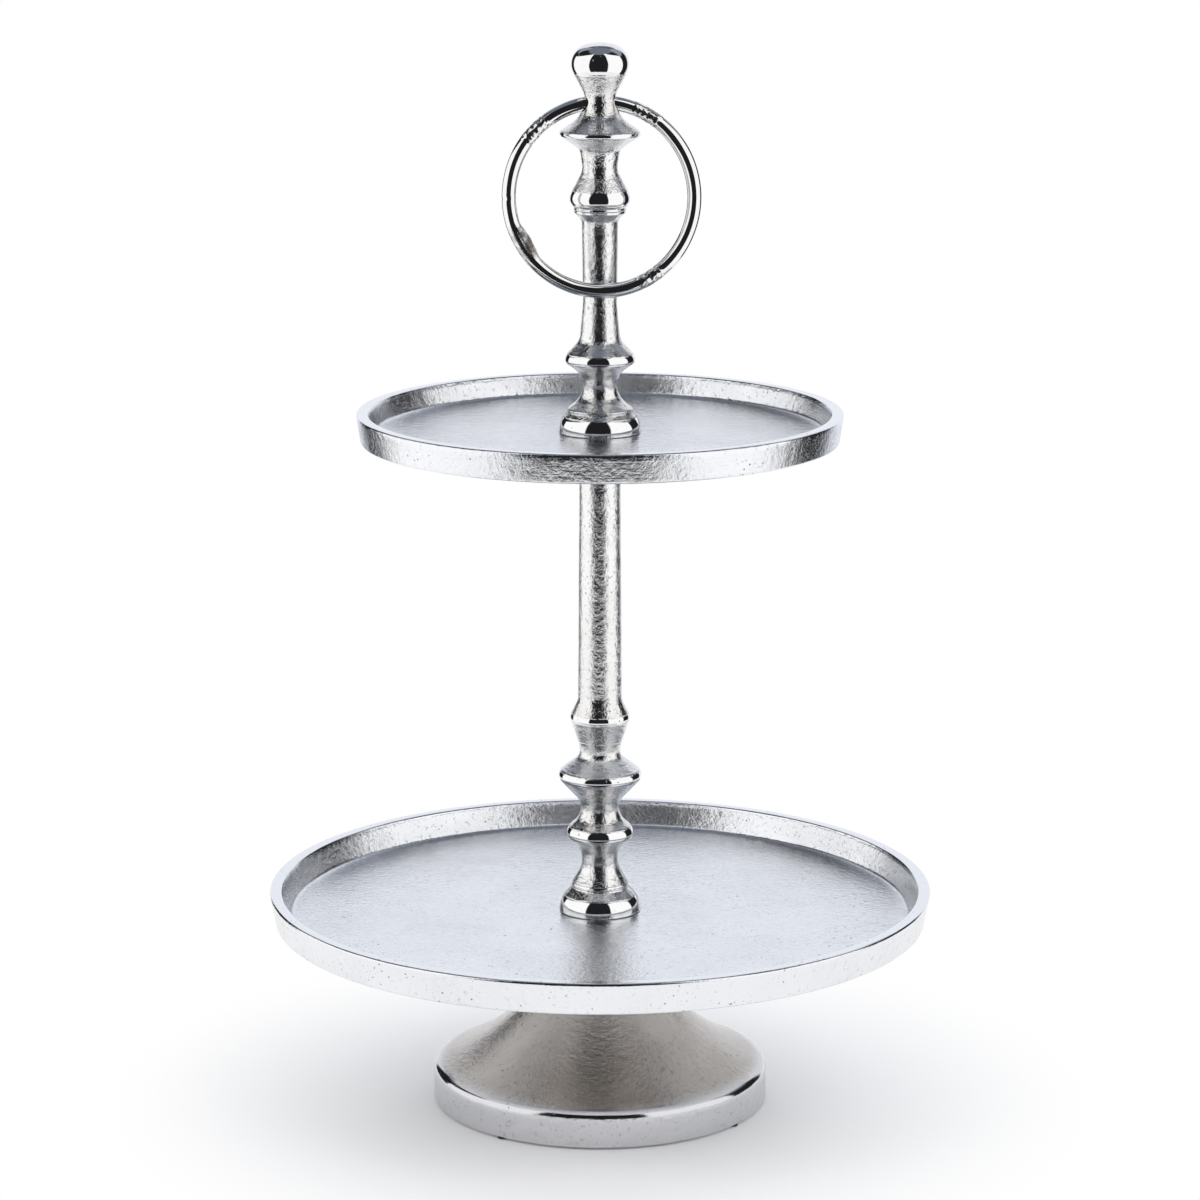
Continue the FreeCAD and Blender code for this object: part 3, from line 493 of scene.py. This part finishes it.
class Graph:
    """Builds a material's nodes: values that are sockets are linked, others are set."""

    def __init__(self, name):
        self.material = bpy.data.materials.new(name)
        self.material.use_nodes = True
        self.tree = self.material.node_tree
        self.tree.nodes.clear()

    def node(self, kind, settings=None, **inputs):
        made = self.tree.nodes.new("ShaderNode" + kind)
        for key, value in (settings or {}).items():
            setattr(made, key, value)
        for key, value in inputs.items():
            by_number = key[0] == "i" and key[1:].isdigit()
            socket = made.inputs[int(key[1:]) if by_number else key.replace("_", " ")]
            if isinstance(value, bpy.types.NodeSocket):
                self.tree.links.new(value, socket)
            else:
                socket.default_value = value
        return made

    def math(self, operation, a, b=0.0, c=0.0, clamp=False):
        return self.node("Math", {"operation": operation, "use_clamp": clamp}, i0=a, i1=b, i2=c).outputs[0]

    def smooth(self, value, low, high, to_low=0.0, to_high=1.0):
        """to_low below low, to_high above high, smooth between."""
        return self.node("MapRange", {"interpolation_type": "SMOOTHSTEP"}, i0=value, i1=low, i2=high,
                         i3=to_low, i4=to_high).outputs[0]

    def scaled(self, coordinates, x, y, z):
        return self.node("VectorMath", {"operation": "MULTIPLY"}, i0=coordinates, i1=(x, y, z)).outputs[0]

    def noise(self, coordinates, scale, detail=2.0, rough=0.5, distortion=0.0):
        return self.node("TexNoise", None, Vector=coordinates, Scale=scale, Detail=detail,
                         Roughness=rough, Distortion=distortion).outputs[0]

    def cells(self, coordinates, scale):
        return self.node("TexVoronoi", {"feature": "F1"}, Vector=coordinates, Scale=scale,
                         Randomness=1.0).outputs["Distance"]

    def mix(self, share, a, b):
        return self.node("Mix", {"data_type": "RGBA"}, i0=share, i6=a, i7=b).outputs[2]

    def blend(self, share, a, b):
        return self.node("Mix", {"data_type": "FLOAT"}, i0=share, i2=a, i3=b).outputs[0]

    def attribute(self, name):
        return self.node("Attribute", {"attribute_name": name}).outputs["Fac"]

    def place(self):
        return self.node("TexCoord").outputs["Object"]

    def bump(self, height):
        """height in metres."""
        return self.node("Bump", None, Strength=1.0, Distance=1.0, Height=height).outputs[0]

    def finish(self, **shader):
        made = self.node("BsdfPrincipled", None, **shader)
        self.node("OutputMaterial", None, Surface=made.outputs[0])
        return self.material


PIT_WOBBLE = 0.0016
SKIRT_TINT_FADE = (0.0195, 0.0245)


def cast_nickel(name, light, shade, grain, pits, rough_low, rough_high, streaks=0.0, skirt=None):
    """Nickel-plated sand-cast aluminium.

    light and shade are the metal's tints, grain is the depth of the casting's skin in millimetres
    where it is unpolished, pits the depth of its scattered pits, rough_low and rough_high its
    roughness where polished and where not, and streaks the depth of level brushing marks. skirt is
    the tint below the foot's flare, when it has one; the foot's darker, warmer tints above it are
    painted reflection of the tray's shaded underside.
    """
    g = Graph(name)
    here = g.place()
    polish = g.attribute("polish")
    worn = g.noise(here, 38.0, 4.0, 0.6)
    ragged = g.noise(here, 420.0, 4.0, 0.65)
    edge = g.math("ADD", g.math("MULTIPLY_ADD", worn, 0.30, -0.15),
                  g.math("MULTIPLY_ADD", ragged, 0.55, -0.275))
    rubbed = g.smooth(g.math("ADD", polish, edge), 0.15, 0.80)
    raw = g.math("SUBTRACT", 1.0, rubbed)

    fine = g.noise(here, 900.0, 3.0, 0.62)
    lumps = g.noise(here, 240.0, 3.0, 0.55)
    broad = g.noise(here, 120.0, 2.0, 0.5)
    wobble = g.scaled(g.node("TexNoise", None, Vector=here, Scale=300.0).outputs[1], *3 * [PIT_WOBBLE])
    spots = g.cells(g.node("VectorMath", {"operation": "ADD"}, i0=here, i1=wobble).outputs[0], 330.0)
    few = g.smooth(g.noise(here, 60.0, 3.0, 0.6), 0.50, 0.62)
    pit = g.math("MULTIPLY", g.smooth(spots, 0.07, 0.20, 1.0, 0.0), few)

    coarse = g.noise(here, 430.0, 3.0, 0.65)
    height = g.math("MULTIPLY", fine, g.math("MULTIPLY_ADD", raw, grain * MM, 0.03 * grain * MM))
    height = g.math("MULTIPLY_ADD", coarse, g.math("MULTIPLY", raw, 2.4 * grain * MM), height)
    lump_depth = g.math("MULTIPLY_ADD", raw, 2.0 * grain * MM, 0.08 * grain * MM)
    height = g.math("MULTIPLY_ADD", lumps, lump_depth, height)
    height = g.math("MULTIPLY_ADD", broad, 0.6 * grain * MM, height)
    height = g.math("MULTIPLY_ADD", pit, -pits * MM, height)
    if streaks:
        brushed = g.noise(g.scaled(here, 26.0, 26.0, 1500.0), 1.0, 3.0, 0.6)
        height = g.math("MULTIPLY_ADD", brushed, streaks * MM, height)

    roughness = g.blend(rubbed, rough_high, rough_low)
    smudges = g.noise(here, 210.0, 3.0, 0.6)
    roughness = g.math("MULTIPLY_ADD", smudges, 0.10, g.math("SUBTRACT", roughness, 0.04))
    roughness = g.math("MULTIPLY_ADD", pit, 0.25, roughness, clamp=True)
    patch = g.smooth(g.noise(here, 24.0, 3.0, 0.55), 0.35, 0.70)
    colour = g.mix(g.math("MULTIPLY", patch, raw), light, shade)
    # On the foot, the darker, warmer tints above the skirt are painted reflection of the tray's shaded
    # underside; below about 20 mm they fade to the skirt's paler silver.
    if skirt:
        up = g.math("MULTIPLY_ADD", ragged, 0.004, g.node("SeparateXYZ", None, i0=here).outputs[2])
        colour = g.mix(g.smooth(up, *SKIRT_TINT_FADE), skirt, colour)
    # Dull specks where the plating sinks into the skin's deepest grain.
    speck = g.math("MULTIPLY", g.smooth(coarse, 0.42, 0.33), g.smooth(raw, 0.25, 0.9, 0.05, 0.36))
    colour = g.mix(speck, colour, (0.11, 0.105, 0.10, 1))
    colour = g.mix(g.math("MULTIPLY", pit, 0.9), colour, (0.08, 0.075, 0.07, 1))
    return g.finish(Base_Color=colour, Metallic=1.0, Roughness=roughness, Normal=g.bump(height))


def ring_metal():
    """Bright plated rod, rubbed rough in places, with a dark lumpy weld."""
    g = Graph("ring_nickel")
    here = g.place()
    weld = g.attribute("weld")
    ragged = g.noise(here, 90.0, 3.0, 0.6)
    rubbed = g.smooth(g.math("MULTIPLY_ADD", ragged, 0.8, g.attribute("rub")), 0.70, 0.95)
    hammered = g.cells(here, 420.0)
    fine = g.noise(here, 900.0, 3.0, 0.6)
    height = g.math("MULTIPLY", fine, g.math("MULTIPLY_ADD", rubbed, 0.04 * MM, 0.004 * MM))
    height = g.math("MULTIPLY_ADD", hammered, g.math("MULTIPLY", rubbed, 0.42 * MM), height)
    crust = g.noise(here, 520.0, 4.0, 0.65)
    height = g.math("MULTIPLY_ADD", crust, g.math("MULTIPLY", weld, 0.55 * MM), height)
    roughness = g.math("MULTIPLY_ADD", rubbed, 0.10, 0.05)
    roughness = g.math("MULTIPLY_ADD", weld, 0.28, roughness)
    scorch = g.math("MULTIPLY", weld, g.smooth(g.noise(here, 260.0, 3.0, 0.6), 0.35, 0.6))
    colour = g.mix(g.math("MULTIPLY", rubbed, 0.35), (0.84, 0.84, 0.83, 1), (0.70, 0.70, 0.70, 1))
    colour = g.mix(scorch, colour, (0.20, 0.18, 0.165, 1))
    return g.finish(Base_Color=colour, Metallic=1.0, Roughness=roughness, Normal=g.bump(height))


def zinc_steel():
    """Passivated fastener steel, faintly mottled."""
    g = Graph("zinc_plated_steel")
    here = g.place()
    mottle = g.noise(here, 350.0, 4.0, 0.6)
    colour = g.mix(mottle, (0.50, 0.50, 0.49, 1), (0.66, 0.67, 0.70, 1))
    roughness = g.math("MULTIPLY_ADD", mottle, 0.20, 0.22)
    scratch = g.noise(g.scaled(here, 900.0, 900.0, 5000.0), 1.0, 2.0, 0.5)
    return g.finish(Base_Color=colour, Metallic=1.0, Roughness=roughness,
                    Normal=g.bump(g.math("MULTIPLY", scratch, 0.01 * MM)))


def rubber(name, tint, scale):
    """Dull black rubber or fibre with a fine tooth and a little dust."""
    g = Graph(name)
    here = g.place()
    tooth = g.noise(here, scale, 4.0, 0.65)
    dust = g.smooth(g.noise(here, scale / 9, 3.0, 0.6), 0.45, 0.75)
    colour = g.mix(g.math("MULTIPLY", dust, 0.5), tint, tuple(3 * c for c in tint[:3]) + (1,))
    return g.finish(Base_Color=colour, Roughness=g.math("MULTIPLY_ADD", tooth, 0.2, 0.6),
                    Normal=g.bump(g.math("MULTIPLY", tooth, 0.03 * MM)))


def wear(obj, material):
    obj.data.materials.clear()
    obj.data.materials.append(material)


# ---------------------------------------------------------------- studio

CAMERA_AZIMUTH = math.radians(-9.0)
CAMERA_DISTANCE = 2.001
CAMERA_HEIGHT = 0.697
CAMERA_DROP = math.radians(12.45)
LENS, SENSOR_WIDTH = 125.0, 36.0
FLOOR_RADIUS = 0.70
FLOOR_FADE = (0.05, 0.26)

# Edges of the softboxes and of the backdrop, in degrees round from the camera's side to the right.
RIGHT_BOX = (32, 102)
LEFT_BOX = (-127, -43)
BACKDROP = (141, -154)


def make_camera():
    data = bpy.data.cameras.new("camera")
    data.sensor_width = SENSOR_WIDTH
    data.lens = LENS
    data.clip_end = 50.0
    camera = bpy.data.objects.new("camera", data)
    bpy.context.scene.collection.objects.link(camera)
    camera.location = (
        CAMERA_DISTANCE * math.sin(CAMERA_AZIMUTH),
        -CAMERA_DISTANCE * math.cos(CAMERA_AZIMUTH),
        CAMERA_HEIGHT)
    camera.rotation_euler = (math.pi / 2 - CAMERA_DROP, 0, CAMERA_AZIMUTH)
    bpy.context.scene.camera = camera


def make_world():
    """A white studio: a tall softbox either side of the camera, a dark room between and beyond them,
    lighter high up at the sides, a cool ceiling, and a backdrop that is pale low down. The camera
    itself sees plain white."""
    world = bpy.data.worlds.new("studio")
    bpy.context.scene.world = world
    world.use_nodes = True
    g = Graph.__new__(Graph)
    g.tree = world.node_tree
    g.tree.nodes.clear()
    towards = g.node("TexCoord").outputs["Generated"]
    turned = g.node("VectorRotate", {"rotation_type": "Z_AXIS"},
                    Vector=towards, Angle=-CAMERA_AZIMUTH).outputs[0]
    x, y, z = g.node("SeparateXYZ", None, i0=turned).outputs
    side = g.math("ARCTAN2", x, g.math("MULTIPLY", y, -1.0))
    up = g.math("ARCSINE", z)

    def above(value, degrees, edge):
        """0 below an angle and 1 above it, fading over edge degrees either way."""
        return g.smooth(value, math.radians(degrees - edge), math.radians(degrees + edge))

    def band(value, low, high, edge):
        return g.math("SUBTRACT", above(value, low, edge), above(value, high, edge))

    right = band(side, *RIGHT_BOX, 1.0)
    left = band(side, *LEFT_BOX, 1.0)
    # The boxes' top corners nearest the camera are cut off.
    cut = g.math("MULTIPLY_ADD", g.math("ABSOLUTE", side), -0.55, math.radians(88))
    low = above(up, -40, 3)
    boxes = g.math("MULTIPLY", g.math("ADD", right, left), low)
    boxes = g.math("MULTIPLY", boxes, g.math("SUBTRACT", 1.0, above(up, 66, 2)))
    boxes = g.math("MULTIPLY", boxes, g.math("GREATER_THAN", cut, up))
    behind = g.math("ADD", above(side, BACKDROP[0], 2), g.math("SUBTRACT", 1.0, above(side, BACKDROP[1], 2)))
    flank = g.math("ADD", band(side, RIGHT_BOX[1], BACKDROP[0], 2), band(side, BACKDROP[1], LEFT_BOX[0], 2))
    upper_flank = g.math("MULTIPLY", flank, above(up, 28, 4))
    colour = g.mix(upper_flank, (0.016, 0.016, 0.018, 1), (0.30, 0.32, 0.37, 1))
    colour = g.mix(behind, colour, (0.10, 0.11, 0.13, 1))
    low_back = g.math("MULTIPLY", behind, g.math("SUBTRACT", 1.0, above(up, 45, 4)))
    colour = g.mix(low_back, colour, (0.90, 0.92, 0.98, 1))
    colour = g.mix(above(up, 62, 3), colour, (0.17, 0.19, 0.235, 1))
    colour = g.mix(boxes, colour, (1.12, 1.12, 1.12, 1))
    # Soft light is stronger than what the metal mirrors, as if the walls around it gave some back.
    soft = g.math("MULTIPLY_ADD", g.node("LightPath").outputs["Is Diffuse Ray"], 2.2, 1.0)
    light = g.node("Background", None, Color=colour, Strength=soft)
    plain = g.node("Background", None, Color=(1, 1, 1, 1), Strength=1.0)
    seen = g.node("LightPath").outputs["Is Camera Ray"]
    mixed = g.node("MixShader", None, i0=seen, i1=light.outputs[0], i2=plain.outputs[0])
    g.node("OutputWorld", None, Surface=mixed.outputs[0])


def make_floor():
    """A pale round table top that fades out to the white of the backdrop."""
    rings, segments, reach = 24, 96, FLOOR_RADIUS
    vertices = [(0, 0, 0)]
    for n in range(1, rings + 1):
        radius = reach * n / rings
        turns = [2 * math.pi * k / segments for k in range(segments)]
        vertices += [(radius * math.cos(turn), radius * math.sin(turn), 0) for turn in turns]
    faces = [(0, 1 + k, 1 + (k + 1) % segments) for k in range(segments)]
    for n in range(rings - 1):
        start = 1 + n * segments
        for k in range(segments):
            after = (k + 1) % segments
            faces.append((start + k, start + segments + k, start + segments + after, start + after))
    floor = finish_mesh("floor", vertices, faces, {})
    g = Graph("pale_floor")
    here = g.place()
    distance = g.node("VectorMath", {"operation": "LENGTH"}, i0=here).outputs["Value"]
    far = g.smooth(distance, *FLOOR_FADE)
    matte = g.node("BsdfDiffuse", None, Color=(0.94, 0.94, 0.94, 1))
    white = g.node("Emission", None, Color=(1, 1, 1, 1), Strength=1.0)
    mixed = g.node("MixShader", None, i0=far, i1=matte.outputs[0], i2=white.outputs[0])
    g.node("OutputMaterial", None, Surface=mixed.outputs[0])
    wear(floor, g.material)


# ---------------------------------------------------------------- the scene

make_camera()
make_world()
make_floor()
bpy.context.scene.view_settings.view_transform = "Standard"

lower_column, upper_column = make_columns()
lower_tray = make_tray("lower_plate", 3.0, 6.0, 3.0, 20.9, 384)
upper_tray = make_tray("upper_plate", 3.8, 5.8, 2.0, 20.7, 320)
foot = make_foot()
ring = make_ring()

for piece in (lower_column, upper_column, lower_tray, upper_tray, foot):
    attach(piece, "stand")
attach(ring, "handle")

column_nickel = cast_nickel(
    "column_nickel", light=(0.86, 0.86, 0.86, 1), shade=(0.78, 0.77, 0.755, 1),
    grain=0.12, pits=0.06, rough_low=0.05, rough_high=0.11)
wear(lower_column, column_nickel)
wear(upper_column, column_nickel)
tray_nickel = cast_nickel(
    "tray_nickel", light=(0.85, 0.865, 0.89, 1), shade=(0.76, 0.77, 0.80, 1),
    grain=0.085, pits=0.05, rough_low=0.09, rough_high=0.22, streaks=0.070)
wear(lower_tray, tray_nickel)
wear(upper_tray, tray_nickel)
# The flare's darker, warmer taupe tints are painted reflection of the tray's shaded underside; the skirt
# below keeps a paler silver.
foot_nickel_painted_reflection = cast_nickel(
    "foot_nickel_painted_reflection", light=(0.54, 0.505, 0.465, 1), shade=(0.41, 0.375, 0.34, 1),
    grain=0.075, pits=0.07, rough_low=0.10, rough_high=0.20,
    streaks=0.03, skirt=(0.68, 0.68, 0.70, 1))
wear(foot, foot_nickel_painted_reflection)
wear(ring, ring_metal())

steel = zinc_steel()
for node in ("foot_bolt", "foot_spring_washer", "foot_flat_washer", "coupling_stud"):
    wear(frame["nodes"][node], steel)
fibre = rubber("fibre_gasket", (0.020, 0.019, 0.018, 1), 900.0)
for node in ("lower_column_gasket", "upper_column_gasket"):
    wear(frame["nodes"][node], fibre)
soft = rubber("pad_rubber", (0.022, 0.022, 0.022, 1), 1400.0)
for number in range(1, 5):
    wear(frame["nodes"]["foot_pad_%d" % number], soft)
